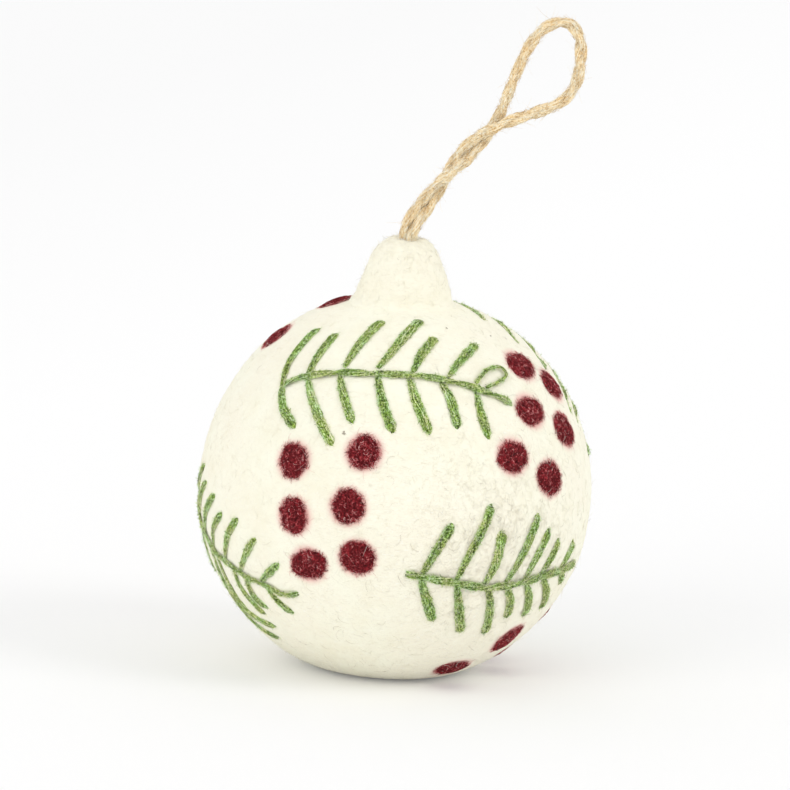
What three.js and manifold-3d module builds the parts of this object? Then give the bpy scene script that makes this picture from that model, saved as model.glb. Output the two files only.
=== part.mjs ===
// Felt ball ornament with a felt cap, embroidered sprigs, felted berry dots and a twisted hanging cord.
// Millimetres, +Z up. The origin is the centre of the flat foot that the ball rests on.
// The front of the ball faces -Y and the hanging cord leans towards +X.
import * as THREE from "three";
import { mergeVertices } from "three/addons/utils/BufferGeometryUtils.js";
import Module from "manifold-3d";

// Ball
const ball_radius = 40;
const foot_depth = 3;
const foot_edge_width = 6;
const shell_wall = 5;
const seat_gap = 0.3;
const cut_overrun = 2;
const weld_distance = 0.0001;

// Cap
const cap_height = 12.9;
const cap_base_radius = 9.4;
const cap_rim_lip = 0.5;

// Cord and its knot
const cord_diameter = 1.9;
const strand_gap = 0.65;
const knot_radius = 2.4;
const knot_cord_diameter = 2;
const lean_clearance = 0.3;

// Berry dots
const berry_radius = 3.15;
const berry_dome = 0.5;
const berry_root = 1;

// Embroidery yarn
const yarn_width = 1.6;
const yarn_thickness = 0.8;
const yarn_gap = 0.15;
const needle_width = 2;
const motif_tilt = 0.9;

const wasm = await Module();
wasm.setup();

const ball_centre_z = ball_radius - foot_depth;
const cord_radius = cord_diameter / 2;
const strand_spacing = cord_diameter + strand_gap;
const shell_inner_radius = ball_radius - shell_wall;
const rad = THREE.MathUtils.degToRad;

// Turns a closed geometry into a solid that can be joined or cut.
function solid(geometry, matrix) {
  let plain = geometry.clone();
  if (matrix) plain.applyMatrix4(matrix);
  plain.deleteAttribute("normal");
  plain.deleteAttribute("uv");
  plain = mergeVertices(plain, weld_distance);
  const index = plain.index.array;
  const kept = [];
  for (let i = 0; i < index.length; i += 3) {
    const [a, b, c] = [index[i], index[i + 1], index[i + 2]];
    if (a !== b && b !== c && c !== a) kept.push(a, b, c);
  }
  const mesh = new wasm.Mesh({
    numProp: 3,
    vertProperties: new Float32Array(plain.attributes.position.array),
    triVerts: new Uint32Array(kept),
  });
  return new wasm.Manifold(mesh);
}

function geometryOf(manifold) {
  const mesh = manifold.getMesh();
  const geometry = new THREE.BufferGeometry();
  geometry.setAttribute("position", new THREE.BufferAttribute(mesh.vertProperties, 3));
  geometry.setIndex(new THREE.BufferAttribute(mesh.triVerts, 1));
  geometry.computeVertexNormals();
  return geometry;
}

// Joins rings of points, listed clockwise seen from ahead, into one closed body with flat ends.
function loft(rings) {
  const sides = rings[0].length;
  const positions = rings.flat().flatMap((p) => [p.x, p.y, p.z]);
  const index = [];
  for (let r = 0; r < rings.length - 1; r++) {
    for (let k = 0; k < sides; k++) {
      const here = r * sides + k;
      const beside = r * sides + ((k + 1) % sides);
      index.push(here, beside + sides, beside, here, here + sides, beside + sides);
    }
  }
  const last = (rings.length - 1) * sides;
  for (let k = 1; k < sides - 1; k++) {
    index.push(0, k, k + 1);
    index.push(last, last + k + 1, last + k);
  }
  const geometry = new THREE.BufferGeometry();
  geometry.setAttribute("position", new THREE.Float32BufferAttribute(positions, 3));
  geometry.setIndex(index);
  return geometry;
}

// Revolves a profile of [radius, height] points about +Z.
function revolve(profile, segments) {
  const points = profile.map(([r, z]) => new THREE.Vector2(r, z));
  return new THREE.LatheGeometry(points, segments).rotateX(Math.PI / 2);
}

const colours = {
  felt: { color: 0xfbf8ea, roughness: 0.95, metalness: 0 },
  wool: { color: 0xe9e3cf, roughness: 0.95, metalness: 0 },
  jute: { color: 0xd3ad78, roughness: 0.9, metalness: 0 },
  yarn: { color: 0x6b9a45, roughness: 0.9, metalness: 0 },
  berry: { color: 0x7a1f2c, roughness: 0.95, metalness: 0 },
};

function named(name, geometry, colour) {
  const mesh = new THREE.Mesh(geometry, new THREE.MeshStandardMaterial(colours[colour]));
  mesh.name = name;
  return mesh;
}

// Places on the ball are angles in degrees. A patch has its own frame: lon and lat say where its centre
// is, with lon 0 at the front and + to the right, and turn how far its long way climbs. Inside it, u runs
// along that way and v across it. All of them sit a little askew to the cap's axis.
function patchRotation(patch) {
  const euler = new THREE.Euler(rad(patch.turn), rad(-patch.lat), rad(patch.lon - 90), "ZYX");
  const tilt = new THREE.Quaternion().setFromAxisAngle(new THREE.Vector3(0, -1, 0), rad(motif_tilt));
  return tilt.multiply(new THREE.Quaternion().setFromEuler(euler));
}

function towards(u, v) {
  return new THREE.Vector3(
    Math.cos(rad(v)) * Math.cos(rad(u)),
    Math.cos(rad(v)) * Math.sin(rad(u)),
    Math.sin(rad(v)),
  );
}

// The foot: the ball meets the floor in a flat disc, and a rounded edge blends it into the sphere.
function ballOutline(radius, opening_radius, rings) {
  const top_angle = Math.asin(opening_radius / radius);
  const flat_radius = Math.sqrt(radius ** 2 - ball_centre_z ** 2) - foot_edge_width / 2;
  const blend_angle = Math.asin((flat_radius + foot_edge_width) / radius);
  const profile = [];
  for (let i = 0; i <= rings; i++) {
    const angle = top_angle + ((Math.PI - blend_angle - top_angle) * i) / rings;
    profile.push([radius * Math.sin(angle), radius * Math.cos(angle)]);
  }
  const sphere_edge = new THREE.Vector2(...profile.at(-1));
  const flat_edge = new THREE.Vector2(flat_radius, -ball_centre_z);
  const slope = new THREE.Vector2(-Math.cos(blend_angle), -Math.sin(blend_angle));
  const reach = (flat_edge.y - sphere_edge.y) / slope.y;
  const corner = sphere_edge.clone().addScaledVector(slope, reach);
  const edge = new THREE.QuadraticBezierCurve(sphere_edge, corner, flat_edge);
  for (const point of edge.getPoints(4).slice(1)) profile.push([point.x, point.y]);
  profile.push([0, -ball_centre_z]);
  return profile;
}

function innerSphere(radius) {
  return new THREE.SphereGeometry(radius, 28, 12).rotateX(Math.PI / 2);
}

const knot_width = 3 * knot_radius + knot_cord_diameter;
const knot_height = knot_radius + knot_cord_diameter;
const core_radius = shell_inner_radius - seat_gap;
const well_radius = knot_width / 2 + seat_gap;

function woolCore() {
  return named("wool_core", innerSphere(core_radius), "wool");
}

// The shell is open at the top, in a well that holds the knot, and has a shallow pocket for each berry.
function feltShell(patches) {
  const outer = revolve([[0, ball_radius], ...ballOutline(ball_radius, well_radius, 20)].reverse(), 40);
  let shell = solid(outer).subtract(solid(innerSphere(shell_inner_radius)));
  const well_height = shell_wall + 2 * cut_overrun;
  const well = new THREE.CylinderGeometry(well_radius, well_radius, well_height, 20).rotateX(Math.PI / 2);
  const well_z = ball_radius - shell_wall / 2;
  shell = shell.subtract(solid(well, new THREE.Matrix4().makeTranslation(0, 0, well_z)));
  const pocket_radius = berry_radius + seat_gap;
  const pocket_depth = berry_root + seat_gap;
  const pocket_height = pocket_depth + cut_overrun;
  for (const patch of patches) {
    for (const [u, v] of patch.berries) {
      const pocket = new THREE.CylinderGeometry(pocket_radius, pocket_radius, pocket_height, 10);
      pocket.rotateX(Math.PI / 2);
      pocket.translate(0, 0, ball_radius - pocket_depth + pocket_height / 2);
      shell = shell.subtract(solid(pocket, berryMatrix(patch, u, v)));
    }
  }
  return named("felt_shell", geometryOf(shell), "felt");
}

// Cap profile, as shares of the base radius and of the cap's height over its rim.
const cap_outline_shares = [
  [1.02, 0.0], [0.97, 0.06], [0.935, 0.18], [0.92, 0.34], [0.86, 0.52],
  [0.77, 0.68], [0.66, 0.82], [0.56, 0.92], [0.45, 0.98], [0.36, 1.0],
];
const cap_rim_z = Math.sqrt(ball_radius ** 2 - cap_base_radius ** 2);
const cap_top_z = cap_rim_z + cap_height;
const pivot_z = cap_top_z + lean_clearance + cord_radius;

// The cap's underside follows the ball. Its bore is a slot that is just wide enough for the two strands.
function feltCap() {
  const seat_radius = ball_radius + seat_gap;
  const profile = [];
  const rim_radius = cap_outline_shares[0][0] * cap_base_radius;
  const rim_angle = Math.asin(rim_radius / seat_radius);
  const rim_z = seat_radius * Math.cos(rim_angle);
  for (let i = 0; i <= 4; i++) {
    const angle = (rim_angle * i) / 4;
    profile.push([seat_radius * Math.sin(angle), seat_radius * Math.cos(angle)]);
  }
  const lip_z = rim_z + cap_rim_lip;
  for (const [r, z] of cap_outline_shares) {
    profile.push([r * cap_base_radius, lip_z + z * (cap_top_z - lip_z)]);
  }
  profile.push([0, cap_top_z]);
  const half = strand_spacing / 2;
  const bore_radius = cord_radius + seat_gap;
  const slot = new THREE.Shape();
  slot.absarc(0, half, bore_radius, 0, Math.PI, false);
  slot.absarc(0, -half, bore_radius, Math.PI, 2 * Math.PI, false);
  const depth = cap_top_z - rim_z + 2 * cut_overrun;
  const bore = new THREE.ExtrudeGeometry(slot, { depth, bevelEnabled: false, curveSegments: 6 });
  bore.translate(0, 0, rim_z - cut_overrun);
  return named("felt_cap", geometryOf(solid(revolve(profile, 32)).subtract(solid(bore))), "felt");
}

// The knot that holds the cord's two ends under the cap, with the two strands that rise through the bore.
function hangerKnot() {
  const knot_z = core_radius + seat_gap + knot_height / 2;
  const lump = new THREE.TorusKnotGeometry(knot_radius, knot_cord_diameter / 2, 36, 6);
  let knot = solid(lump, new THREE.Matrix4().makeTranslation(0, 0, knot_z));
  const bottom_z = knot_z - knot_radius / 2;
  const height = cap_top_z - bottom_z;
  for (const side of [-1, 1]) {
    const strand = new THREE.CylinderGeometry(cord_radius, cord_radius, height, 8).rotateX(Math.PI / 2);
    const place = new THREE.Matrix4().makeTranslation(0, (side * strand_spacing) / 2, bottom_z + height / 2);
    knot = knot.add(solid(strand, place));
  }
  return named("hanger_knot", geometryOf(knot), "jute");
}

// Route of the hanging cord over the ball's centre, in the plane y = 0. The two strands wind round the
// stem's line for a turn and a quarter, then part into the loop.
const stem_points = [[0, 0], [1.5, 3], [3.6, 6.2], [6.9, 11.2], [10.4, 16.1], [14.3, 20.6], [17.6, 24.3]];
const loop_points = [
  [18, 28.2], [19.6, 33], [21.6, 38.1], [24.1, 42.4], [26.8, 44.8], [29.5, 45.5],
  [32, 44.1], [33.4, 40.8], [33.6, 36.2], [32.4, 31.7], [29.4, 28.5], [24.8, 26.4],
];
const strand_turns = 1.25;
const strand_steps = 14;

function strandPoint(stem, share, side) {
  const length = stem.getLength();
  const straight_share = cord_diameter / length;
  const wound_share = Math.max(0, share - straight_share) / (1 - straight_share);
  const turn = wound_share * strand_turns * 2 * Math.PI;
  const centre = stem.getPointAt(share);
  const along = stem.getTangentAt(share);
  const across = new THREE.Vector3(-along.z, 0, along.x);
  const out = new THREE.Vector3(0, Math.cos(turn), 0).addScaledVector(across, Math.sin(turn));
  return centre.addScaledVector(out, (side * strand_spacing) / 2);
}

function hangerRoute() {
  const stem = new THREE.CatmullRomCurve3(stem_points.map(([x, z]) => new THREE.Vector3(x, 0, pivot_z + z)));
  const up = [];
  const down = [];
  for (let i = 0; i <= strand_steps; i++) {
    up.push(strandPoint(stem, i / strand_steps, 1));
    down.push(strandPoint(stem, i / strand_steps, -1));
  }
  const loop = loop_points.map(([x, z]) => new THREE.Vector3(x, 0, pivot_z + z));
  return new THREE.CatmullRomCurve3([...up, ...loop, ...down.reverse()], false, "centripetal");
}

// The least distance between the surfaces of two stretches of the tube that aren't neighbours.
function leastSelfGap(route) {
  const samples = route.getSpacedPoints(600);
  const step = route.getLength() / 600;
  const apart = Math.ceil((3 * cord_diameter) / step);
  let least = Infinity;
  for (let i = 0; i < samples.length; i++) {
    for (let j = i + apart; j < samples.length; j++) {
      least = Math.min(least, samples[i].distanceTo(samples[j]) - cord_diameter);
    }
  }
  return least;
}

// Each end is a ball on the axis that the hanger leans about, so that it turns in place.
function hangerCord() {
  const route = hangerRoute();
  console.log(`hanger cord: length ${route.getLength().toFixed(1)} mm`);
  console.log(`hanger cord: least gap to itself ${leastSelfGap(route).toFixed(2)} mm`);
  const section = new THREE.Shape();
  section.absarc(0, 0, cord_radius, 0, 2 * Math.PI, false);
  const tube = new THREE.ExtrudeGeometry(section, {
    steps: 80,
    curveSegments: 4,
    bevelEnabled: false,
    extrudePath: route,
  });
  let cord = solid(tube);
  for (const end of [route.getPoint(0), route.getPoint(1)]) {
    const ball = new THREE.SphereGeometry(cord_radius, 8, 6);
    cord = cord.add(solid(ball, new THREE.Matrix4().makeTranslation(end.x, end.y, end.z)));
  }
  return named("hanger_cord", geometryOf(cord), "jute");
}

// A stitch is a flat run of yarn that lies on the ball along [u, v] places.
const stitch_end_share = 0.7;

function stitch(places, width, steps) {
  const line = new THREE.CatmullRomCurve3(places.map(([u, v]) => towards(u, v)));
  const height = ball_radius + yarn_gap + yarn_thickness / 2;
  const rings = [];
  for (let i = 0; i <= steps; i++) {
    const out = line.getPointAt(i / steps).normalize();
    const along = line.getTangentAt(i / steps);
    const aside = new THREE.Vector3().crossVectors(along, out).normalize();
    const share = i === 0 || i === steps ? stitch_end_share : 1;
    const ring = [];
    for (let k = 0; k < 5; k++) {
      const angle = rad(90 + 72 * k);
      const point = out.clone().multiplyScalar(height);
      point.addScaledVector(aside, (share * Math.cos(angle) * width) / 2);
      point.addScaledVector(out, (share * Math.sin(angle) * yarn_thickness) / 2);
      ring.push(point);
    }
    rings.push(ring);
  }
  return solid(loft(rings));
}

function sprig(patch) {
  const stem_line = new THREE.CatmullRomCurve3(patch.stem.map(([u, v]) => new THREE.Vector3(u, v, 0)));
  let yarn = stitch(patch.stem, yarn_width, 12);
  for (const { root, reach } of patch.needles) {
    const start = stem_line.getPoint(root);
    yarn = yarn.add(stitch([[start.x, start.y], ...reach], needle_width, 3));
  }
  const mesh = named(patch.name, geometryOf(yarn), "yarn");
  mesh.quaternion.copy(patchRotation(patch));
  return mesh;
}

// A berry is a domed dot with a flat root, set in its pocket.
function berryMatrix(patch, u, v) {
  const turn = new THREE.Matrix4().makeRotationFromQuaternion(patchRotation(patch));
  const out = towards(u, v);
  const lean = new THREE.Quaternion().setFromUnitVectors(new THREE.Vector3(0, 0, 1), out);
  return turn.multiply(new THREE.Matrix4().makeRotationFromQuaternion(lean));
}

const berry_outline_shares = [[0.9, -1], [1, 0], [0.9, 0.45], [0.55, 0.85]];

function berry(name, matrix) {
  const profile = [[0, ball_radius - berry_root]];
  for (const [r, z] of berry_outline_shares) {
    profile.push([r * berry_radius, ball_radius + z * (z < 0 ? berry_root : berry_dome)]);
  }
  profile.push([0, ball_radius + berry_dome]);
  const mesh = named(name, geometryOf(solid(revolve(profile, 10))), "berry");
  mesh.rotation.setFromRotationMatrix(matrix);
  return mesh;
}

// Sprigs: the stem's [u, v] places, then each needle's root as a share of the stem and the places that it
// reaches. The stitches lean the way that the sprig grows, and no two are alike.
const front_upper_sprig = {
  stem: [
    [-34.8, 2.7], [-26, 3.3], [-14.9, 2.3], [-4.8, 1.1], [5.4, 1.2], [14.9, 1], [22, 0.9], [29.1, 0.7],
    [37, 0.7],
  ],
  needles: [
    { root: 0.01, reach: [[-33, 12.3], [-26.4, 24.2]] },
    { root: 0.125, reach: [[-23.6, 10.5], [-18.7, 19.9]] },
    { root: 0.26, reach: [[-10.7, 13.6], [-4.6, 24.4]] },
    { root: 0.39, reach: [[-0.6, 10.5], [7.6, 25.6]] },
    { root: 0.5, reach: [[7.9, 9.6], [12, 17.7]] },
    { root: 0.63, reach: [[19, 8.8], [25.3, 19.2]] },
    { root: 0.73, reach: [[28.5, 7.5], [32, 11.9]] },
    { root: 0.02, reach: [[-33.7, -5.1], [-29.9, -12.9]] },
    { root: 0.125, reach: [[-23.8, -5.7], [-20.7, -14.4], [-17.8, -20.7]] },
    { root: 0.24, reach: [[-14.4, -5.6], [-11.4, -14.6]] },
    { root: 0.37, reach: [[-2.6, -8.6], [0.9, -17.5]] },
    { root: 0.49, reach: [[7, -7], [12, -17.1]] },
    { root: 0.61, reach: [[17.1, -5.2], [20.2, -13.6]] },
    { root: 0.78, reach: [[27, -7.1], [30.7, -13.6]] },
  ],
};
const front_lower_sprig = {
  stem: [
    [-32.7, 1.2], [-28.3, 1.1], [-21.1, 0.7], [-14.7, -0.1], [-7.9, -1], [-0.8, -1], [6.9, -0.7],
    [15.7, -0.5], [24.8, -1.6], [35.7, -3.1],
  ],
  needles: [
    { root: 0.14, reach: [[-25.4, 9.2], [-21.7, 18.1]] },
    { root: 0.27, reach: [[-15.2, 8.8], [-11.3, 18.2], [-9.1, 24.3]] },
    { root: 0.4, reach: [[-5.9, 7], [-4.9, 16.3]] },
    { root: 0.5, reach: [[3.3, 7.5], [9.5, 19.8]] },
    { root: 0.61, reach: [[10, 6.8], [14.8, 14.1]] },
    { root: 0.71, reach: [[17.5, 5.6], [20.1, 10]] },
    { root: 0.85, reach: [[27.5, 2.9], [30.4, 6.3]] },
    { root: 0.12, reach: [[-24.2, -7.1], [-20.6, -14]] },
    { root: 0.28, reach: [[-13.5, -9.9], [-10, -18.2]] },
    { root: 0.43, reach: [[-3.2, -9.5], [-0.5, -20]] },
    { root: 0.55, reach: [[3.5, -7.3], [5.2, -14.2]] },
    { root: 0.65, reach: [[11.5, -7.9], [13.9, -15.4]] },
    { root: 0.74, reach: [[20.6, -8.9], [22.7, -15.3]] },
    { root: 0.88, reach: [[27.4, -5.3], [28.9, -8]] },
  ],
};
const left_lower_sprig = {
  stem: [
    [-37, 1.5], [-30, 0.6], [-21, 0.2], [-12, -0.9], [-2, 0.5], [6.7, 0.4], [15.1, 1], [21.6, 0.4], [27.3, 2],
  ],
  needles: [
    { root: 0.05, reach: [[-31.5, 10.5], [-27, 19.3]] },
    { root: 0.17, reach: [[-25.5, 8.4], [-21.1, 17.1]] },
    { root: 0.28, reach: [[-17.4, 9.4], [-12.6, 17.9]] },
    { root: 0.41, reach: [[-10.7, 7.2], [-6.3, 15.4]] },
    { root: 0.51, reach: [[-1.7, 9.7], [2.3, 18]] },
    { root: 0.63, reach: [[7.2, 7.7], [11.4, 15.6]] },
    { root: 0.75, reach: [[17.2, 6.3], [20.7, 10.4]] },
    { root: 0.04, reach: [[-32.2, -8.2], [-28.5, -15.5]] },
    { root: 0.16, reach: [[-24.1, -9.4], [-20.6, -17.2]] },
    { root: 0.33, reach: [[-7.5, -13], [3, -21.5], [13.9, -22.4]] },
    { root: 0.42, reach: [[-4, -10.5], [3.6, -16.2], [15.1, -16.3]] },
    { root: 0.54, reach: [[3.6, -6.6], [12.4, -12.5]] },
    { root: 0.63, reach: [[9.4, -6.4], [14.3, -8.7]] },
    { root: 0.77, reach: [[19.6, -3.6], [24.4, -6.3]] },
  ],
};
const back_upper_sprig = {
  stem: [[-41, 2.5], [-34, 1.4], [-26, 1.9], [-17, 0.4], [-8, 0.9], [1, 0], [10, 0.8], [20, 0.4], [29, 1.4]],
  needles: [
    { root: 0.03, reach: [[-31, 13], [-26, 21]] },
    { root: 0.22, reach: [[-19.5, 12], [-14, 21.5]] },
    { root: 0.42, reach: [[-7.5, 12.5], [-1, 22.5]] },
    { root: 0.58, reach: [[4.5, 11], [10, 19.5]] },
    { root: 0.74, reach: [[15.5, 9], [20, 15.5]] },
    { root: 0.88, reach: [[25, 7], [28, 11]] },
    { root: 0.05, reach: [[-29.8, -11.6], [-22.7, -22.6]] },
    { root: 0.25, reach: [[-17.6, -14.3], [-9.5, -23.1]] },
    { root: 0.43, reach: [[-5.3, -13.7], [1.9, -19.7]] },
    { root: 0.6, reach: [[9.1, -14.6], [18, -21.3]] },
    { root: 0.76, reach: [[17.2, -13.4], [22, -16.6]] },
    { root: 0.9, reach: [[27, -5], [31, -9]] },
  ],
};

// Berries: [u, v] places of each cluster of six.
const loose_cluster = [[-12.3, 13.8], [10, 18.3], [-10.3, -2.3], [6.6, 2.2], [-5.7, -16.4], [9.8, -12.7]];
const slanted_cluster = [[3.5, 16.3], [15, 8.2], [-4.5, 2.1], [9.6, -5.9], [-18.3, -9.1], [-5.1, -18.4]];
const paired_cluster = [[8.3, -3.2], [-1.3, 15.2], [-10.5, -11.5], [-17.5, 8], [-26, -18], [-34, 1]];
const long_cluster = [[3.4, 5.6], [32, 0], [45, -11], [-8.2, -9], [21, -13], [34.5, -23]];

const sprigs = [
  { name: "sprig_front_upper", lon: -2, lat: 45, turn: 0, ...front_upper_sprig },
  { name: "sprig_front_lower", lon: 38, lat: -18, turn: 0, ...front_lower_sprig },
  { name: "sprig_left_lower", lon: -60, lat: -20, turn: -18, ...left_lower_sprig },
  { name: "sprig_back_upper", lon: 111, lat: 38, turn: -112, ...back_upper_sprig },
  { name: "sprig_back_lower", lon: 134, lat: -18, turn: 0, ...front_lower_sprig },
];
const clusters = [
  { name: "berry_front", lon: -20, lat: 3, turn: 0, berries: loose_cluster },
  { name: "berry_right", lon: 58, lat: 30, turn: 0, berries: slanted_cluster },
  { name: "berry_left", lon: -100, lat: 55, turn: 0, berries: paired_cluster },
  { name: "berry_under", lon: 50, lat: -48, turn: 0, berries: long_cluster },
  { name: "berry_back", lon: -152, lat: 4, turn: 8, berries: loose_cluster },
];

const ornament = new THREE.Group();
const ball = new THREE.Group();
ball.position.z = ball_centre_z;
ornament.add(ball);
ball.add(woolCore(), feltShell(clusters), feltCap(), hangerKnot(), hangerCord());
for (const patch of sprigs) ball.add(sprig(patch));
for (const patch of clusters) {
  patch.berries.forEach(([u, v], i) => ball.add(berry(`${patch.name}_${i + 1}`, berryMatrix(patch, u, v))));
}

export default ornament;
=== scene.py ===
"""Felt ball ornament: needle-felted ball and cap, embroidered sprigs, felted berry dots and a twine hanger.

Metres, +Z up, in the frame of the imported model. The front of the ball faces -Y.
"""
import math

import bpy
import numpy as np
from mathutils import Euler, Matrix, Vector, kdtree, noise


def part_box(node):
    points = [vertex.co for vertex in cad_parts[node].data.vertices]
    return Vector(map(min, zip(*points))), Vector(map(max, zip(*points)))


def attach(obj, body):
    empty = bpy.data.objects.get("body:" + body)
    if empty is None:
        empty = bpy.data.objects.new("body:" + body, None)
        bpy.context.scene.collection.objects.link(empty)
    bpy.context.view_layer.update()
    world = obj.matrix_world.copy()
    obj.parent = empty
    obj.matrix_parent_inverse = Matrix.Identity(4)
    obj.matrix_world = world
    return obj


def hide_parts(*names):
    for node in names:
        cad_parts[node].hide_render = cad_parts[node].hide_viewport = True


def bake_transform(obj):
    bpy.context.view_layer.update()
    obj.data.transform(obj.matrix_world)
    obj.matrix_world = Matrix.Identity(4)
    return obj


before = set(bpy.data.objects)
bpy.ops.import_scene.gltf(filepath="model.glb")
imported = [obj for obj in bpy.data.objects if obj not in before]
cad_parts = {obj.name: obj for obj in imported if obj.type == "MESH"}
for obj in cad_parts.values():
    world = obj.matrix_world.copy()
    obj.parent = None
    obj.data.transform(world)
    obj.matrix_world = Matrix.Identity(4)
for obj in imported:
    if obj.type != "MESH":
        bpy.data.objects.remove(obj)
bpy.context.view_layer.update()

MM = 0.001
TURN = 2 * math.pi
CORE_LOW, CORE_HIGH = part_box("wool_core")
CENTRE = np.array((CORE_LOW + CORE_HIGH) / 2)
CAP_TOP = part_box("felt_cap")[1].z
BALL_RADIUS = 40 * MM
CORE_RADIUS = 34.2 * MM
BERRY_RADIUS = 3.15 * MM
CORD_DIAMETER = 2.36 * MM

# Camera: as high, as far and as tilted as the photograph's. Lens and sensor are in millimetres.
ELEVATION, ROLL = math.radians(11.5), math.radians(2.9)
DISTANCE = 2.4
LENS, SENSOR = 535.9, 36.0
NEAR_CLIP = 10 * MM
PHOTO_PX = 790
BALL_PX = (395, 488)


def make_camera():
    """Aims the camera so that the ball sits where it does in the photograph."""
    data = bpy.data.cameras.new("photo_camera")
    data.lens = LENS
    data.sensor_width = SENSOR
    data.clip_start = NEAR_CLIP
    camera = bpy.data.objects.new("photo_camera", data)
    bpy.context.collection.objects.link(camera)
    level, upright = Vector((1, 0, 0)), Vector((0, math.sin(ELEVATION), math.cos(ELEVATION)))
    up = upright * math.cos(ROLL) - level * math.sin(ROLL)
    right = level * math.cos(ROLL) + upright * math.sin(ROLL)
    centre = Vector(CENTRE)
    place = centre + Vector((0, -math.cos(ELEVATION), math.sin(ELEVATION))) * DISTANCE
    per_px = DISTANCE * SENSOR / LENS / PHOTO_PX
    aim = centre + (up * (BALL_PX[1] - PHOTO_PX / 2) - right * (BALL_PX[0] - PHOTO_PX / 2)) * per_px
    ahead = (aim - place).normalized()
    side = ahead.cross(up).normalized()
    matrix = Matrix((side, side.cross(ahead), -ahead)).transposed().to_4x4()
    matrix.translation = place
    camera.matrix_world = matrix
    bpy.context.scene.camera = camera


# Meshes and lines
def as_unit(vectors):
    return vectors / np.maximum(np.linalg.norm(vectors, axis=-1, keepdims=True), 1e-12)


def make_object(name, vertices, quads, triangles=None, smooth=True, **values):
    """A mesh object. Each further keyword is an attribute with a value for each vertex."""
    vertices = np.asarray(vertices, dtype=np.float32)
    faces = [np.asarray(group, dtype=np.int32) for group in (quads, triangles) if group is not None]
    sizes = np.concatenate([np.full(len(group), group.shape[1], dtype=np.int32) for group in faces])
    loops = np.concatenate([group.ravel() for group in faces])
    mesh = bpy.data.meshes.new(name)
    mesh.vertices.add(len(vertices))
    mesh.vertices.foreach_set("co", vertices.ravel())
    mesh.loops.add(len(loops))
    mesh.loops.foreach_set("vertex_index", loops)
    mesh.polygons.add(len(sizes))
    mesh.polygons.foreach_set("loop_start", np.concatenate([[0], np.cumsum(sizes)[:-1]]).astype(np.int32))
    mesh.update(calc_edges=True)
    mesh.polygons.foreach_set("use_smooth", np.full(len(sizes), smooth))
    for label, numbers in values.items():
        layer = mesh.attributes.new(label, "FLOAT", "POINT")
        layer.data.foreach_set("value", np.asarray(numbers, dtype=np.float32))
    mesh.validate()
    piece = bpy.data.objects.new(name, mesh)
    bpy.context.collection.objects.link(piece)
    return piece


def dress(piece, material, node=None):
    """Gives a piece of the ornament its material, hides the solid that it stands for, and hangs it on the
    ornament's body.
    """
    piece.data.materials.append(material)
    if node:
        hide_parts(node)
    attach(piece, "ornament")


def ring_quads(rings, around):
    """Quads that join closed rings of points, numbered ring by ring."""
    low = np.arange(rings - 1)[:, None] * around
    here, beside = low + np.arange(around), low + np.roll(np.arange(around), -1)
    return np.stack([here, beside, beside + around, here + around], -1).reshape(-1, 4)


def ring_fan(tip, ring):
    """Triangles that join a point to a closed ring."""
    return np.stack([np.full(len(ring), tip), ring, np.roll(ring, -1)], 1)


def carried(lines):
    """Two vectors across each line of a (lines, points, 3) array, turned as little as possible on the way."""
    along = as_unit(np.gradient(lines, axis=1))
    guide = np.where(np.abs(along[:, 0, 2:3]) < 0.9, [[0.0, 0.0, 1.0]], [[1.0, 0.0, 0.0]])
    across = np.empty_like(lines)
    across[:, 0] = as_unit(np.cross(along[:, 0], guide))
    for i in range(1, lines.shape[1]):
        turned = across[:, i - 1] - np.sum(across[:, i - 1] * along[:, i], -1, keepdims=True) * along[:, i]
        across[:, i] = as_unit(turned)
    return along, across, np.cross(along, across)


def carried_one(line):
    """The same for a single line."""
    return [vectors[0] for vectors in carried(line[None])]


def frame_of(out, guide=(0, 0, -1.0)):
    """Two directions across the outward ones."""
    across = as_unit(np.cross(out, guide))
    return across, np.cross(out, across)


def beside(line, outward):
    """Directions across a line that lies on the surface."""
    return as_unit(np.cross(as_unit(np.gradient(line, axis=0)), outward))


class Tubes:
    """Collects closed tubes, to become one mesh."""

    def __init__(self):
        self.vertices, self.quads, self.triangles, self.shades = [], [], [], []
        self.count = 0

    def add(self, lines, radii, sides, shades):
        """Round tubes along a (lines, points, 3) array. The radii and shades may differ from line to line."""
        _, across, over = carried(lines)
        angles = np.arange(sides) * TURN / sides
        spokes = np.cos(angles)[:, None] * across[:, :, None] + np.sin(angles)[:, None] * over[:, :, None]
        radii = np.broadcast_to(radii, lines.shape[:2])
        self.add_rings(lines[:, :, None] + radii[:, :, None, None] * spokes, shades)

    def add_rings(self, rings, shades):
        """Tubes from their rings, given as a (lines, points, sides, 3) array."""
        many, points, sides = rings.shape[:3]
        start = self.count + np.arange(many)[:, None] * points * sides
        end = start + (points - 1) * sides
        self.quads.append((start[:, None] + ring_quads(points, sides)).reshape(-1, 4))
        for k in range(1, sides - 1):
            self.triangles.append(np.concatenate([start, start + k + 1, start + k], 1))
            self.triangles.append(np.concatenate([end, end + k, end + k + 1], 1))
        self.vertices.append(rings.reshape(-1, 3))
        self.shades.append(np.repeat(np.broadcast_to(shades, many), points * sides))
        self.count += many * points * sides

    def build(self, name):
        faces = np.concatenate(self.quads), np.concatenate(self.triangles)
        return make_object(name, np.concatenate(self.vertices), *faces, shade=np.concatenate(self.shades))


def running_length(line):
    """How far along a line each of its points is."""
    return np.concatenate([[0], np.cumsum(np.linalg.norm(np.diff(line, axis=0), axis=1))])


def read_at(places, marks, values):
    """Numbers or points that are given at marks, read at other places."""
    if values.ndim == 1:
        return np.interp(places, marks, values)
    return np.stack([np.interp(places, marks, values[:, k]) for k in range(3)], -1)


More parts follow.
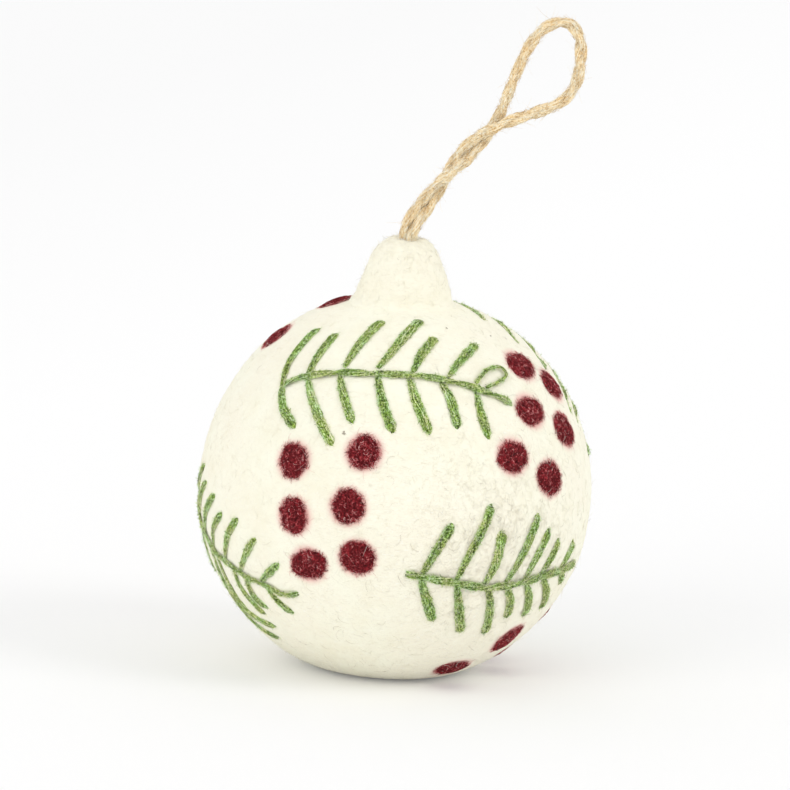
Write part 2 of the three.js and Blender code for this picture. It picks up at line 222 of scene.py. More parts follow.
def smooth_line(points, step):
    """Points about a step apart on the curve through the given ones."""
    points = np.asarray(points, dtype=float)
    ends = np.vstack([2 * points[0] - points[1], points, 2 * points[-1] - points[-2]])
    t = np.linspace(0, 1, 16, endpoint=False)[:, None]
    dense = []
    for p0, p1, p2, p3 in zip(ends, ends[1:], ends[2:], ends[3:]):
        square, cube = 2 * p0 - 5 * p1 + 4 * p2 - p3, 3 * p1 - p0 - 3 * p2 + p3
        dense.append((2 * p1 + (p2 - p0) * t + square * t**2 + cube * t**3) / 2)
    dense = np.vstack([*dense, points[-1:]])
    length = running_length(dense)
    places = np.linspace(0, length[-1], max(6, int(round(length[-1] / step)) + 1))
    return read_at(places, length, dense)


def slow_noise(places, scale, seed, depth=0.0):
    """Noise along a line, at distances from its start."""
    return np.array([noise.noise(Vector((place * scale, seed, depth))) for place in places])


def noise_at(directions, layers, seed=0.0):
    """Noise over the ball, from layers that each have a height and a scale."""
    out = np.zeros(len(directions))
    for height, scale in layers:
        offset = Vector((seed + scale, seed * 2 - scale, seed * 3))
        out += height * np.array([noise.noise(Vector(d) * scale + offset) for d in directions])
    return out


# Places on the ball. A patch has a centre at (lon, lat) and a turn, in degrees. u runs along it, v across.
MOTIF_TILT = Matrix.Rotation(math.radians(0.9), 3, Vector((0, -1, 0)))
LUMPS = ((0.42 * MM, 1.3), (0.2 * MM, 3.6), (0.09 * MM, 9.0))
FOOT_BLEND = 1.6 * MM
FOOT_GAP = 0.02 * MM


def towards(patch, places):
    """Directions from the ball's centre to places on a patch."""
    lon, lat, turn = patch
    euler = Euler((math.radians(turn), math.radians(-lat), math.radians(lon - 90)), "XYZ")
    matrix = np.array(MOTIF_TILT @ euler.to_matrix())
    u, v = np.radians(np.asarray(places, dtype=float)).T
    local = np.stack([np.cos(v) * np.cos(u), np.cos(v) * np.sin(u), np.sin(v)], -1)
    return local @ matrix.T


def rest_on_floor(z):
    """The foot: heights are rounded up from the sphere to the floor that it rests on."""
    share = np.clip((FOOT_BLEND - z) / (2 * FOOT_BLEND), 0, 1)
    return np.maximum(z * (1 - share) + FOOT_BLEND * share * (1 - share), FOOT_GAP)


def on_ball(directions, heights=0.0):
    """Points on the lumpy felt, or at heights over it."""
    radius = BALL_RADIUS + noise_at(directions, LUMPS) + heights
    points = CENTRE + directions * radius[:, None]
    points[:, 2] = rest_on_floor(points[:, 2])
    return points


def nearest(directions, marks):
    """How far each direction is from the nearest mark, over the ball."""
    tree = kdtree.KDTree(len(marks))
    for i, mark in enumerate(marks):
        tree.insert(mark, i)
    tree.balance()
    return np.array([tree.find(Vector(d))[2] for d in directions]) * BALL_RADIUS


# Motifs, in degrees on their patch.
SPRIGS = {
    "front_upper": {
        "stem": [(-34.8, 2.7), (-26, 3.3), (-14.9, 2.3), (-4.8, 1.1), (5.4, 1.2), (14.9, 1.0),
                 (22, 0.9), (29.1, 0.7), (37, 0.7)],
        "needles": [
            [(-34.8, 2.7), (-33, 12.3), (-26, 24.5)], [(-26.2, 3.2), (-23.6, 10.5), (-18.7, 19.9)],
            [(-14.6, 4.6), (-10.7, 13.6), (-4.6, 24.4)], [(-4.7, 3.6), (-0.6, 10.5), (7.6, 25.6)],
            [(5.4, 2.4), (7.9, 9.6), (12, 17.7)], [(15.7, 2.2), (19, 8.8), (25.3, 19.2)],
            [(-34.8, 2.7), (-33.7, -5.1), (-29.9, -12.9)],
            [(-25.9, 2.5), (-23.8, -5.7), (-20.7, -14.4), (-17.8, -20.7)],
            [(-15.9, 1.9), (-14.2, -5.6), (-11.4, -14.6)], [(-4.7, 0.6), (-2.6, -8.6), (0.9, -17.5)],
            [(4.6, 0.2), (7, -7), (12, -17.1)], [(13.7, 0.2), (17.1, -5.2), (20.2, -13.6)],
            [(24.6, -0.4), (27, -7.1), (30.7, -13.6)],
        ],
        "loops": [[(24.2, 2.6), (27.6, 8.6), (32.2, 11.7), (34.2, 9.6), (31.2, 5.6), (27.6, 2.2)]],
    },
    "front_lower": {
        "stem": [(-32.7, 1.2), (-28.3, 1.1), (-21.1, 0.7), (-14.7, -0.1), (-7.9, -1), (-0.8, -1),
                 (6.9, -0.7), (15.7, -0.5), (24.8, -1.6), (35.7, -3.1)],
        "needles": [
            [(-28, 1.6), (-25.4, 9.2), (-21.7, 18.1)],
            [(-17.5, 0.8), (-15.2, 8.8), (-11.3, 18.2), (-9.1, 24.3)],
            [(-8.1, -0.4), (-5.9, 7), (-4.9, 16.3)], [(-0.8, -0.2), (3.3, 7.5), (9.5, 19.8)],
            [(6.9, 0.2), (10, 6.8), (14.8, 14.1)], [(13.7, 0.2), (17.5, 5.6), (20.1, 10)],
            [(24.4, -0.8), (27.5, 2.9), (30.4, 6.3)], [(-28, 0.2), (-24.2, -7.1), (-20.6, -14)],
            [(-17, -0.2), (-13.5, -9.9), (-10, -18.2)], [(-6.6, -1.2), (-3.2, -9.5), (-0.5, -20)],
            [(0.1, -1.6), (3.5, -7.3), (5.2, -14.2)], [(7.5, -1.6), (11.5, -7.9), (13.9, -15.4)],
            [(14.8, -1.2), (20.6, -8.9), (22.7, -15.3)], [(25.8, -2.6), (28.9, -8)],
        ],
    },
    "left_lower": {
        "stem": [(-37, 1.5), (-30, 0.6), (-21, 0.2), (-12, -0.9), (-2, 0.5), (6.7, 0.4), (15.1, 1.0),
                 (21.6, 0.4), (27.3, 2)],
        "needles": [
            [(-35.5, 1.4), (-31.5, 10.5), (-27, 19.3)], [(-28, 0.8), (-25.5, 8.4), (-21.1, 17.1)],
            [(-20.3, 0.6), (-17.4, 9.4), (-12.6, 17.9)], [(-12, 0.2), (-10.7, 7.2), (-6.3, 15.4)],
            [(-3.2, 1), (-1.7, 9.7), (2.3, 18)], [(4.2, 0.6), (7.2, 7.7), (11.4, 15.6)],
            [(13.1, 1), (17.2, 6.3), (20.7, 10.4)], [(-35.5, 0.6), (-32.2, -8.2), (-28.5, -15.5)],
            [(-28.5, 0), (-24.1, -9.4), (-20.6, -17.2)],
            [(-15.5, -1), (-7.5, -13), (3, -21.5), (13.9, -22.4)],
            [(-9.5, -1.2), (-4, -10.5), (3.6, -16.2), (15.1, -16.3)],
            [(0.6, -0.4), (3.6, -6.6), (12.4, -12.5)], [(6.2, -0.4), (9.4, -6.4), (14.3, -8.7)],
            [(15.4, 0), (19.6, -3.6), (24.4, -6.3)],
        ],
    },
    "back_upper": {
        "stem": [(-41, 2.5), (-34, 1.4), (-26, 1.9), (-17, 0.4), (-8, 0.9), (1, 0), (10, 0.8), (20, 0.4),
                 (29, 1.4)],
        "needles": [
            [(-39.3, 2.2), (-31, 13), (-26, 21)], [(-27.9, 1.8), (-19.5, 12), (-14, 21.5)],
            [(-13.8, 0.6), (-7.5, 12.5), (-1, 22.5)], [(-2.2, 0.6), (4.5, 11), (10, 19.5)],
            [(9.3, 0.7), (15.5, 9), (20, 15.5)], [(20.4, 0.4), (25, 7), (28, 11)],
            [(-38.2, 2), (-29.8, -11.6), (-22.7, -22.6)], [(-26, 1.9), (-17.6, -14.3), (-9.5, -23.1)],
            [(-13, 0.6), (-5.3, -13.7), (1.9, -19.7)], [(-0.8, 0.2), (9.1, -14.6), (18, -21.3)],
            [(10.8, 0.8), (17.2, -13.4), (22, -16.6)], [(21.8, 0.6), (27, -5), (31, -9)],
        ],
    },
}
SPRIG_PLACES = {
    "sprig_front_upper": ("front_upper", (-2, 45, 0)),
    "sprig_front_lower": ("front_lower", (38, -18, 0)),
    "sprig_left_lower": ("left_lower", (-60, -20, -18)),
    "sprig_back_upper": ("back_upper", (111, 38, -112)),
    "sprig_back_lower": ("front_lower", (134, -18, 0)),
}
STITCH_STEP = 0.42 * MM
LOOSE = [(-12.3, 13.8), (10, 18.3), (-10.3, -2.3), (6.6, 2.2), (-5.7, -16.4), (9.8, -12.7)]
SLANTED = [(3.5, 16.3), (15, 8.2), (-4.5, 2.1), (9.6, -5.9), (-18.3, -9.1), (-5.1, -18.4)]
PAIRED = [(8.3, -3.2), (-1.3, 15.2), (-10.5, -11.5), (-17.5, 8), (-26, -18), (-34, 1)]
LONG = [(3.4, 5.6), (32, 0), (45, -11), (-8.2, -9), (21, -13), (34.5, -23)]
CLUSTERS = {
    "berry_front": ((-20, 3, 0), LOOSE),
    "berry_right": ((58, 30, 0), SLANTED),
    "berry_left": ((-100, 55, 0), PAIRED),
    "berry_under": ((50, -48, 0), LONG),
    "berry_back": ((-152, 4, 8), LOOSE),
}
# The dots in view are ovals: the long and the short radius over BERRY_RADIUS, and the long one's heading.
OVALS = {
    "berry_front": [(1.08, 0.97, 110), (1.05, 0.92, 63), (1.11, 0.92, 98), (1.11, 0.96, 72), (1.28, 0.87, 25),
                    (1.16, 1.04, 9)],
    "berry_right": [(1.4, 0.9, 5), (1.32, 0.86, 175), (1.27, 0.86, 5), (1.25, 0.98, 152), (1.2, 0.88, 9),
                    (1.22, 0.98, 163)],
}


def stitch_lines(patch, places):
    """A stitch's directions from the ball's centre."""
    return as_unit(smooth_line(towards(patch, places) * BALL_RADIUS, STITCH_STEP))


def all_stitches():
    """Directions along every stitch."""
    marks = []
    for pattern, patch in SPRIG_PLACES.values():
        shape = SPRIGS[pattern]
        for places in [shape["stem"], *shape["needles"], *shape.get("loops", [])]:
            marks.append(stitch_lines(patch, places))
    return np.concatenate(marks)


def berry_directions():
    return {name: towards(patch, places) for name, (patch, places) in CLUSTERS.items()}


def all_berries():
    return np.concatenate(list(berry_directions().values()))


# Materials
class Graph:
    """Short ways to add nodes to a material or a world."""

    def __init__(self, owner):
        owner.use_nodes = True
        self.owner = owner
        self.nodes, self.links = owner.node_tree.nodes, owner.node_tree.links

    def fill(self, node, inputs):
        """Joins a node's inputs to other sockets, or gives them values."""
        for name, value in inputs.items():
            socket = node.inputs[name]
            if isinstance(value, bpy.types.NodeSocket):
                self.links.new(value, socket)
            elif socket.type == "RGBA":
                socket.default_value = (*value, 1)
            else:
                socket.default_value = value

    def add(self, kind, inputs, output=0, **settings):
        """Adds a node and returns one of its outputs."""
        node = self.nodes.new("ShaderNode" + kind)
        for name, value in settings.items():
            setattr(node, name, value)
        self.fill(node, inputs)
        return node.outputs[output]

    def noise(self, scale, detail, roughness=0.55):
        place = self.add("TexCoord", {}, "Object")
        inputs = {"Vector": place, "Scale": scale, "Detail": detail, "Roughness": roughness}
        return self.add("TexNoise", inputs)

    def ramp(self, value, stops):
        """The colour that a value picks from the stops."""
        node = self.nodes.new("ShaderNodeValToRGB")
        self.fill(node, {"Fac": value})
        elements = node.color_ramp.elements
        while len(elements) < len(stops):
            elements.new(0.5)
        for element, (place, colour) in zip(elements, stops):
            element.position = place
            element.color = (*colour, 1)
        return node.outputs["Color"]

    def mix(self, factor, first, second, blend="MIX"):
        return self.add("Mix", {0: factor, 6: first, 7: second}, 2, data_type="RGBA", blend_type=blend)

    def attribute(self, name):
        return self.add("Attribute", {}, "Fac", attribute_name=name)

    def bump(self, height, strength, distance):
        normal = self.add("Bump", {"Height": height, "Strength": strength, "Distance": distance})
        self.fill(self.nodes["Principled BSDF"], {"Normal": normal})

    def coat(self, tone, roughness, sheen, sheen_roughness, specular):
        self.fill(self.nodes["Principled BSDF"], {
            "Base Color": tone,
            "Roughness": roughness,
            "Sheen Weight": sheen,
            "Sheen Roughness": sheen_roughness,
            "Specular IOR Level": specular,
        })


BLACK, WHITE = (0, 0, 0), (1, 1, 1)
FELT_MOTTLE = [(0.32, (0.924, 0.89, 0.72)), (0.5, (0.949, 0.932, 0.775)), (0.68, (0.96, 0.952, 0.805))]
FELT_PATCHES, WORN_FELT = (0.948, 0.905, 0.755), (0.962, 0.925, 0.775)
DARK_FLECK, WORN_FLECK = (0.87, 0.81, 0.67), (0.86, 0.79, 0.655)
PALE_FLECKS = ((0.91, 0.86, 0.71), (0.985, 0.975, 0.885), (0.94, 0.89, 0.74))
BERRY_HAZE = (0.86, 0.4, 0.38)
FLECK_TURNS = ((0.3, 0.2, 0.5), (1.1, 0.7, 2.1), (0.4, 1.3, 1.2), (2.0, 0.5, 3.0))
FLECK_SCALE = (800, 2900, 2900)
FLECK_EDGE = (0.6, 0.72)
WISP_COLOURS = [(0.0, (0.42, 0.37, 0.3)), (0.22, (0.8, 0.74, 0.6)), (0.5, (0.93, 0.88, 0.74)),
                (1, (0.97, 0.95, 0.86))]
YARN_COLOURS = [(0.0, (0.045, 0.065, 0.008)), (0.25, (0.17, 0.29, 0.034)), (0.5, (0.45, 0.63, 0.125)),
                (0.75, (0.8, 0.91, 0.4)), (1, (0.98, 0.99, 0.8))]
YARN_DRIFT = ((0.86, 1, 0.9), (1, 0.96, 0.86))
BERRY_COLOURS = [(0.0, (0.08, 0.004, 0.006)), (0.3, (0.155, 0.008, 0.012)), (0.55, (0.35, 0.026, 0.034)),
                 (0.75, (0.6, 0.1, 0.11)), (1, (0.93, 0.54, 0.51))]
JUTE_COLOURS = [(0.0, (0.56, 0.39, 0.19)), (0.3, (0.91, 0.725, 0.44)), (0.6, (0.99, 0.885, 0.645)),
                (1, (0.99, 0.97, 0.88))]
JUTE_DRIFT = ((1, 0.93, 0.82), WHITE)


def flecks(graph, turn):
    """Fine rods of noise that lie one way: they show on the surface as short fibres."""
    place = graph.add("TexCoord", {}, "Object")
    rods = graph.add("Mapping", {"Vector": place, "Rotation": turn, "Scale": FLECK_SCALE})
    value = graph.add("TexNoise", {"Vector": rods, "Scale": 1, "Detail": 1, "Distortion": 1.4})
    return graph.ramp(value, list(zip(FLECK_EDGE, (BLACK, WHITE))))


def felt_material(name, marks, relief_share):
    """Cream wool felt: marks is how far the flecks stand out, relief_share the strength of its bump."""
    graph = Graph(bpy.data.materials.new(name))
    tone = graph.ramp(graph.noise(130, 6, 0.62), FELT_MOTTLE)
    spread = graph.ramp(graph.noise(42, 5, 0.6), [(0.42, BLACK), (0.66, (0.85,) * 3)])
    worn = graph.attribute("worn")
    tone = graph.mix(worn, graph.mix(spread, tone, FELT_PATCHES), WORN_FELT)
    contrast = graph.mix(worn, graph.mix(spread, (0.22 * marks,) * 3, (marks,) * 3), (0.7,) * 3)
    first, second, last = PALE_FLECKS
    reliefs = []
    for turn, shade in zip(FLECK_TURNS, (first, second, graph.mix(worn, DARK_FLECK, WORN_FLECK), last)):
        reliefs.append(flecks(graph, turn))
        tone = graph.mix(contrast, tone, graph.mix(reliefs[-1], tone, shade))
    graph.coat(graph.mix(graph.attribute("shade"), tone, BERRY_HAZE), 0.95, 0.12, 0.6, 0.1)
    relief = graph.mix(0.5, reliefs[0], reliefs[2], "ADD")
    graph.bump(graph.mix(0.5, graph.noise(1500, 4, 0.7), relief, "ADD"), relief_share, 0.2 * MM)
    return graph.owner


def fibre_material(name, stops, roughness, sheen, scale, clumps, drift=None):
    """Yarn and loose fibres: each fibre's own shade picks its colour, and clumps of noise break it up.

    drift is a pair of tints that the colour wanders between along the yarn.
    """
    graph = Graph(bpy.data.materials.new(name))
    texture = graph.noise(scale, 3)
    shade = graph.add("Math", {0: graph.attribute("shade"), 1: clumps / 2}, operation="SUBTRACT")
    tone = graph.ramp(graph.add("Math", {0: texture, 1: clumps, 2: shade}, operation="MULTIPLY_ADD"), stops)
    if drift:
        tint = graph.ramp(graph.noise(330, 2), list(zip((0.38, 0.62), drift)))
        tone = graph.mix(1, tone, tint, "MULTIPLY")
    graph.coat(tone, roughness, sheen, 0.5, 0.2)
    graph.bump(texture, 0.3, 0.1 * MM)
    return graph.owner


def make_materials():
    return {
        "felt": felt_material("ball_felt", 1, 0.45),
        "cap": felt_material("cap_felt", 0.4, 0.35),
        "wisps": fibre_material("felt_wisps", WISP_COLOURS, 0.85, 0.2, 700, 0.5),
        "yarn": fibre_material("green_yarn", YARN_COLOURS, 0.95, 0.3, 2400, 2.3, YARN_DRIFT),
        "berry": fibre_material("berry_wool", BERRY_COLOURS, 0.95, 0.04, 2200, 1.6),
        "jute": fibre_material("jute_twine", JUTE_COLOURS, 0.9, 0.2, 2200, 1.7, JUTE_DRIFT),
    }


# Twine: its route repeats the model's, in millimetres from the pivot. Two strands wind round the stem's line,
# then make the loop. STRAND_TURN has shares of the stem and half turns.
STRAND_SPACING = 1.95 * MM
PIVOT_Z = CAP_TOP + 1.25 * MM
STEM = [(0, 0), (1.3, 3), (3.3, 6.2), (6.6, 11.2), (10.3, 16.1), (14.3, 20.6), (17.8, 24.2)]
LOOP = [(18.4, 28.2), (20, 33), (22, 38.1), (24.3, 42.2), (27, 44.3), (29.6, 44.9), (31.7, 43.6), (33, 40.6),
        (33.1, 36.2), (32.2, 31.6), (29.4, 28.3), (25, 26.2)]
STRAND_TURN = [(0, 0.38), (0.12, 0.5), (0.28, 0.66), (0.4, 0.84), (0.49, 1.02), (0.6, 1.26), (0.73, 1.55),
               (0.84, 1.8), (0.92, 2.0), (1, 2.3)]
BORE_REACH = 4 * MM
STEM_STEP, CORD_STEP = 2.2 * MM, 0.45 * MM
PLY_PITCH, PLY_STRANDS, FUZZ_PER_MM = 11 * MM, 17, 16
CORD_HAIRS, LONG_HAIRS = 3300, 0.07
KNOT_RADIUS, KNOT_TWINE = 2.4 * MM, 1 * MM


def cord_route():
    stem, loop = ([(x * MM, 0, PIVOT_Z + z * MM) for x, z in route] for route in (STEM, LOOP))
    stem = smooth_line(stem, STEM_STEP)
    along = as_unit(np.gradient(stem, axis=0))
    across = np.stack([-along[:, 2], np.zeros(len(stem)), along[:, 0]], 1)
    turn = math.pi * np.interp(np.linspace(0, 1, len(stem)), *zip(*STRAND_TURN))
    out = np.cos(turn)[:, None] * np.array([0, 1, 0]) + np.sin(turn)[:, None] * across
    out = out * STRAND_SPACING / 2
    low = CAP_TOP - BORE_REACH
    bore = np.array([(0, 0, low), (0, 0, (low + PIVOT_Z) / 2)])
    side = out[0] * np.array([[0.6], [0.9]])
    return np.vstack([bore + side, stem + out, loop, (stem - out)[::-1], (bore - side)[::-1]])


def add_fuzz(tubes, line, aside, outward, half, tall, rng, many, round_share=0.5, rim=0.4):
    """Short fibres that lie on a yarn at a slant and follow its round, or the outer share of it.

    rim is how much paler they are at the yarn's sides.
    """
    t = np.linspace(0, 1, 5)
    marks = np.arange(len(line))
    reach = rng.uniform(1, min(3.6, marks[-1] / 2), (many, 1))
    places = rng.uniform(0, 1, (many, 1)) * (marks[-1] - reach) + reach * t
    spin = rng.uniform(0, TURN * round_share, (many, 1)) + rng.uniform(-0.7, 0.7, (many, 1)) * t
    lift = 1.02 + 0.12 * rng.uniform(0, 1, (many, 1)) * np.sin(math.pi * t)
    sideways = np.cos(spin) * lift * read_at(places, marks, half)
    upwards = np.sin(spin) * lift * read_at(places, marks, tall) + 0.02 * MM
    paths = read_at(places, marks, line) + read_at(places, marks, aside) * sideways[..., None]
    paths = paths + read_at(places, marks, outward) * upwards[..., None]
    radii = rng.uniform(0.022, 0.045, (many, 1)) * MM * (1 - 0.4 * t)
    dark = rng.uniform(0, 1, many) < 0.2
    shades = np.where(dark, rng.uniform(0, 0.25, many), rng.uniform(0.3, 1, many))
    tubes.add(paths, radii, 3, shades + rim * (0.6 - np.sin(spin[:, 2])))


def wind(line, spin, across, over, wide, tall):
    """A line that winds round another, as a flat helix."""
    return line + across * (np.cos(spin) * wide)[:, None] + over * (np.sin(spin) * tall)[:, None]


def twine(tubes, line, radius, rng):
    """Two soft plies laid round each other, each a bundle of fibres that wander."""
    _, across, over = carried_one(line)
    length = running_length(line)
    thick = radius * (1 + 0.14 * slow_noise(length, 75, rng.uniform(0, 50)))
    for ply in range(2):
        turn = -TURN * length / PLY_PITCH + math.pi * ply + 0.5 * slow_noise(length, 90, ply * 7)
        ply_radius = thick * (0.64 + 0.09 * slow_noise(length, 380, ply * 3))
        centre = wind(line, turn, across, over, thick * 0.36, thick * 0.36)
        # Each ply's core is a little darker than its strands: painted shade that shows in the gaps between
        # them.
        tubes.add(centre[None], ply_radius * 0.88, 8, 0.35)
        _, ply_across, ply_over = carried_one(centre)
        for strand in range(PLY_STRANDS):
            seed = rng.uniform(0, 90)
            spin = TURN * strand / PLY_STRANDS + TURN * length / (PLY_PITCH * 1.3)
            spin = spin + 1.1 * slow_noise(length, 260, seed)
            ring = ply_radius * (0.82 + 0.34 * slow_noise(length, 420, seed, 4))
            path = wind(centre, spin, ply_across, ply_over, ring, ring)
            own = radius * rng.uniform(0.09, 0.15) * (1 + 0.5 * slow_noise(length, 700, seed, 9))
            tubes.add(path[None], own, 4, rng.uniform(0.25, 0.85))
        many = int(FUZZ_PER_MM * length[-1] / MM)
        add_fuzz(tubes, centre, ply_across, ply_over, ply_radius, ply_radius, rng, many, 1, 0)


def make_cord(materials):
    rng = np.random.default_rng(11)
    line = smooth_line(cord_route(), CORD_STEP)
    tubes, hairs = Tubes(), Tubes()
    twine(tubes, line, CORD_DIAMETER / 2, rng)
    along, across, over = carried_one(line)
    t = np.linspace(0, 1, 6)[:, None]
    for i in rng.integers(14, len(line) - 14, CORD_HAIRS):
        turn = rng.uniform(0, TURN)
        out = math.cos(turn) * across[i] + math.sin(turn) * over[i]
        lean = along[i] * rng.choice([-1, 1])
        long_one = rng.uniform(0, 1) < LONG_HAIRS
        reach = (rng.uniform(2, 4.5) if long_one else rng.uniform(0.4, 1.5)) * MM
        curl = np.cross(lean, out) * rng.uniform(-0.9, 0.9)
        foot = line[i] + out * CORD_DIAMETER * rng.uniform(0.38, 0.5)
        rise = out * (0.05 * t + rng.uniform(-0.1, 0.4) * t**2)
        path = foot + reach * (lean * t * 0.8 + rise + curl * t**2)
        radius = (0.035 if long_one else rng.uniform(0.025, 0.05)) * MM
        hairs.add(path[None], radius * (1 - 0.7 * t[:, 0]), 3, rng.uniform(-0.1, 1.1))
    cord = tubes.build("hanger_twine")
    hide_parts("hanger_cord")
    for piece in (cord, hairs.build("hanger_twine_hairs")):
        piece.data.materials.append(materials["jute"])
        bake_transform(piece)


def make_knot(materials):
    """The knot under the cap, in the same twine, and hidden by the cap."""
    middle = np.array([0, 0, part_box("hanger_knot")[0].z + KNOT_RADIUS / 2 + 1 * MM])
    t = np.linspace(0, 2 * TURN, 150)
    reach = KNOT_RADIUS * (2 + np.cos(1.5 * t)) / 2
    line = middle + np.stack([reach * np.cos(t), reach * np.sin(t), KNOT_RADIUS * np.sin(1.5 * t) / 2], 1)
    tubes = Tubes()
    twine(tubes, line, KNOT_TWINE, np.random.default_rng(5))
    dress(tubes.build("knot_twine"), materials["jute"], "hanger_knot")


# Ball. The felt is fuzzier and greyer round the worn place, low on the right of the front.
GRAIN = ((0.055 * MM, 26.0), (0.04 * MM, 60.0))
YARN_DENT, YARN_DENT_REACH = 0.24 * MM, 1.05 * MM
BERRY_DENT, BERRY_DENT_REACH = 0.2 * MM, 0.8 * MM
BLUSH_REACH = 1.9 * MM
WORN_HEADING = as_unit(np.array([0.55, -0.83, -0.1]))
WORN_REACH = 12.5 * MM


def cube_sphere(cuts):
    """Directions and quads of a sphere whose faces are nearly even."""
    grid = np.tan(np.linspace(-math.pi / 4, math.pi / 4, cuts + 1))
    a, b = np.meshgrid(grid, grid, indexing="ij")
    one = np.ones_like(a)
    faces = [(one, a, b), (-one, b, a), (b, one, a), (a, -one, b), (a, b, one), (b, a, -one)]
    points = np.concatenate([np.stack(f, -1).reshape(-1, 3) for f in faces])
    _, first, back = np.unique(np.round(points, 6), axis=0, return_index=True, return_inverse=True)
    side = cuts + 1
    i, j = np.meshgrid(np.arange(cuts), np.arange(cuts), indexing="ij")
    here = (i * side + j).ravel()
    quad = np.stack([here, here + side, here + side + 1, here + 1], 1)
    quads = np.concatenate([quad + k * side * side for k in range(6)])
    return as_unit(points[first]), back.ravel()[quads]


def worn_share(directions):
    """How worn the felt is, from 0 to 1."""
    away = np.linalg.norm(directions - WORN_HEADING, axis=1) * BALL_RADIUS
    patchy = 0.75 + noise_at(directions, ((0.9, 5.0), (0.6, 14.0)), 2.0)
    low = 0.14 * np.clip(0.1 - directions[:, 2], 0, 1)
    return np.clip((np.exp(-((away / WORN_REACH) ** 2)) + low) * patchy, 0, 1)


def make_ball(materials):
    directions, quads = cube_sphere(112)
    yarn = nearest(directions, all_stitches())
    past_berry = nearest(directions, all_berries()) - BERRY_RADIUS
    heights = noise_at(directions, GRAIN)
    heights -= YARN_DENT * np.exp(-((yarn / YARN_DENT_REACH) ** 2))
    heights -= BERRY_DENT * np.exp(-((past_berry / BERRY_DENT_REACH) ** 2))
    blush = 0.85 * np.clip(1 - past_berry / BLUSH_REACH, 0, 1) ** 1.7
    points = on_ball(directions, heights)
    corner, second, third = (points[quads[:, k]] for k in range(3))
    outward = np.sum(np.cross(second - corner, third - corner) * directions[quads[:, 0]], 1)
    quads[outward < 0] = quads[outward < 0][:, ::-1]
    ball = make_object("felted_ball", points, quads, shade=blush, worn=worn_share(directions))
    dress(ball, materials["felt"], "felt_shell")


def make_core(materials):
    directions, quads = cube_sphere(24)
    radius = CORE_RADIUS + noise_at(directions, ((0.8 * MM, 3.0),), 4.0)
    core = make_object("wool_stuffing", CENTRE + directions * radius[:, None], quads,
                       shade=np.zeros(len(directions)))
    dress(core, materials["felt"], "wool_core")


# Cap: the radius and height of its outline over the rim, in millimetres.
CAP_OUTLINE = [(10.9, -1.7), (10.75, -0.8), (10.35, -0.15), (9.7, 0.35), (9.2, 1.3), (8.85, 2.8), (8.45, 4.4),
               (7.9, 6.3), (7.25, 8.2), (6.45, 10.0), (5.5, 11.4), (4.3, 12.4), (3.0, 12.85), (1.9, 12.7),
               (1.2, 12.2), (0.7, 11.5)]
CAP_HEIGHT = 12.9 * MM
CAP_STEP, CAP_AROUND = 0.45 * MM, 130
CAP_LUMPS = ((0.45 * MM, 0.9), (0.35 * MM, 2.1), (0.16 * MM, 5.0), (0.08 * MM, 13.0))
CAP_LUMP_SCALE = 10 * MM
CAP_BULGE = 0.8 * MM
CAP_DIMPLE = 0.3 * MM


def make_cap(materials):
    rim = np.array([0, 0, CAP_TOP - CAP_HEIGHT])
    profile = smooth_line([(r * MM, 0, rim[2] + z * MM) for r, z in CAP_OUTLINE], CAP_STEP)
    angles = np.arange(CAP_AROUND) * TURN / CAP_AROUND
    reach, height = profile[:, 0:1], profile[:, 2:3]
    rings = np.stack([reach * np.cos(angles), reach * np.sin(angles), height + 0 * angles], -1).reshape(-1, 3)
    local = (rings - rim) / CAP_LUMP_SCALE
    left_and_low = np.clip(-local[:, 0], 0, 1) * np.clip(1.1 - local[:, 2], 0, 1)
    lift = noise_at(local, CAP_LUMPS, 9.0) + CAP_BULGE * left_and_low
    points = rings + as_unit(rings - rim + [0, 0, 2 * MM]) * lift[:, None]
    points = np.vstack([points, rim, [0, 0, profile[-1, 2] - CAP_DIMPLE]])
    ring = np.arange(CAP_AROUND)
    bottom, top, last = len(points) - 2, len(points) - 1, (len(profile) - 1) * CAP_AROUND
    triangles = np.vstack([ring_fan(bottom, ring[::-1]), ring_fan(top, last + ring)])
    cap = make_object("felted_cap", points, ring_quads(len(profile), CAP_AROUND), triangles,
                      shade=np.zeros(len(points)))
    dress(cap, materials["cap"], "felt_cap")
    return cap


# Yarn. For each sprig: the stem's and the needles' widths, the share of it at a needle's root, how deep the
# yarn sinks in places, and how hairy it is.
YARN_WIDTHS = {
    "front_upper": (1.38 * MM, 1.97 * MM, 0.6, 0, 1.1),
    "front_lower": (1.5 * MM, 2.05 * MM, 0.6, 0, 1.5),
    "left_lower": (1.1 * MM, 1.6 * MM, 0.42, 0.1 * MM, 1.5),
    "back_upper": (1.0 * MM, 1.15 * MM, 0.5, 0.45 * MM, 1.4),
}
LOOP_WIDTH = 0.85 * MM
HALF_WIDTH, YARN_FLATNESS = 0.46, 0.2
YARN_FUZZ_PER_MM2, YARN_STRAYS_PER_MM = 10.5, 12


